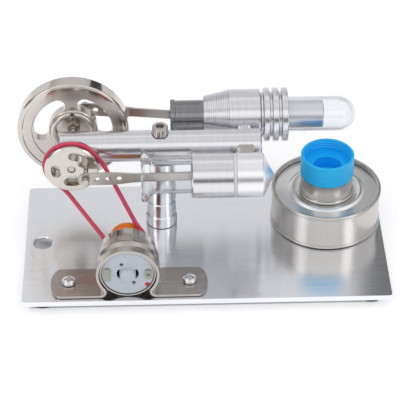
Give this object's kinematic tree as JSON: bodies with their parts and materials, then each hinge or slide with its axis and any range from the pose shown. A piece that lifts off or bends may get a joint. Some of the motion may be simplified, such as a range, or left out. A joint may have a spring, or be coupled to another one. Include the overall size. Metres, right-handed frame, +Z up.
{
  "type": "stirling engine model",
  "caption": "Tabletop Stirling engine: glass hot cylinder and glass power cylinder on a beam and column, flywheel, crank, belt-driven motor and spirit burner on a metal base.",
  "frame": {"origin": "middle of the front left foot's underside", "axes": "+X along the beam and cylinders towards the burner, +Y along the crankshaft towards the flywheel, +Z up"},
  "size_m": [0.1615, 0.0893, 0.0721],
  "materials": {
    "brushed_plate": "fine brushed, near mirror",
    "aluminium": "turned and polished",
    "nickel": "warm bright nickel plate",
    "chrome": "bright plated pressed steel",
    "dark_steel": "dark polished steel",
    "glass": "clear drawn tube",
    "brass": "turned",
    "black_rubber": "matt",
    "red_rubber": "smooth, slightly glossy",
    "grey_plastic": "moulded",
    "orange_plastic": "moulded",
    "tin_plate": "pressed tinplate, satin",
    "blue_plastic": "moulded",
    "cotton": "twisted cotton",
    "displacer_grey": "satin light shell"
  },
  "bodies": {
    "engine": {"base_plate": "brushed_plate", "foot_front_left": "black_rubber", "foot_front_right": "black_rubber", "foot_back_left": "black_rubber", "foot_back_right": "black_rubber", "column": "aluminium", "column_base_screw": "dark_steel", "beam": "aluminium", "beam_clamp_screw": "dark_steel", "crank_bush_front": "brass", "crank_bush_rear": "brass", "drive_belt": "red_rubber", "motor_can": "chrome", "motor_end_bell": "grey_plastic", "motor_terminal_left": "brass", "motor_terminal_right": "brass", "motor_magnet": "dark_steel", "motor_strap": "chrome", "strap_left_screw": "chrome", "strap_right_screw": "chrome", "strap_left_nut": "chrome", "strap_right_nut": "chrome", "power_barrel": "aluminium", "power_gasket": "grey_plastic", "power_head": "aluminium", "power_glass": "glass", "transfer_tube": "brass", "lock_nut": "aluminium", "spacer_ring": "aluminium", "cold_body": "aluminium", "shaft_gland": "brass", "guide_sleeve": "dark_steel", "fin_block": "aluminium", "hot_glass": "glass"},
    "crank": {"crankshaft": "dark_steel", "flywheel": "nickel", "flywheel_set_screw": "dark_steel", "crank_disc": "nickel"},
    "rotor": {"motor_shaft": "dark_steel", "motor_armature": "dark_steel", "drive_pulley": "orange_plastic"},
    "piston": {"power_piston": "dark_steel", "power_wrist_pin": "chrome"},
    "power_link": {"power_rod": "nickel", "power_crank_pin": "dark_steel"},
    "displacer_slide": {"displacer": "displacer_grey", "displacer_shaft": "chrome", "crosshead": "brass", "displacer_wrist_pin": "chrome"},
    "displacer_link": {"displacer_rod": "nickel", "displacer_crank_pin": "dark_steel"},
    "burner": {"burner_tin": "tin_plate", "burner_lid": "tin_plate", "burner_neck": "tin_plate", "burner_wick": "cotton"},
    "cap": {"burner_cap": "blue_plastic"}
  },
  "joints": [
    {"name": "crank_spin", "type": "hinge", "parent": "engine", "child": "crank", "pos_m": [0.0136, 0.0465, 0.0474], "axis": [0, 1, 0], "continuous": true},
    {"name": "rotor_spin", "type": "hinge", "parent": "engine", "child": "rotor", "pos_m": [0.0371, 0.0178, 0.0184], "axis": [0, 1, 0], "continuous": true},
    {"name": "piston_slide", "type": "slide", "parent": "engine", "child": "piston", "axis": [1, 0, 0], "range_m": [-0.01234, 0.00006]},
    {"name": "power_rod_swing", "type": "hinge", "parent": "piston", "child": "power_link", "pos_m": [0.06774, 0.0242, 0.0474], "axis": [0, 1, 0], "range_deg": [-6.45, 8.39]},
    {"name": "displacer_travel", "type": "slide", "parent": "engine", "child": "displacer_slide", "axis": [1, 0, 0], "range_m": [-0.01187, 0.00212]},
    {"name": "displacer_rod_swing", "type": "hinge", "parent": "displacer_slide", "child": "displacer_link", "pos_m": [0.06447, 0.0687, 0.0474], "axis": [0, 1, 0], "range_deg": [-14.7, 2.79]},
    {"name": "burner_lift", "type": "slide", "parent": "engine", "child": "burner", "axis": [0, 0, 1], "range_m": [0, 0.01]},
    {"name": "cap_lift", "type": "slide", "parent": "burner", "child": "cap", "axis": [0, 0, 1], "range_m": [0, 0.012]}
  ],
  "couplings": [
    {"joint": "rotor_spin", "follows": "crank_spin", "ratio": 1.546}
  ]
}
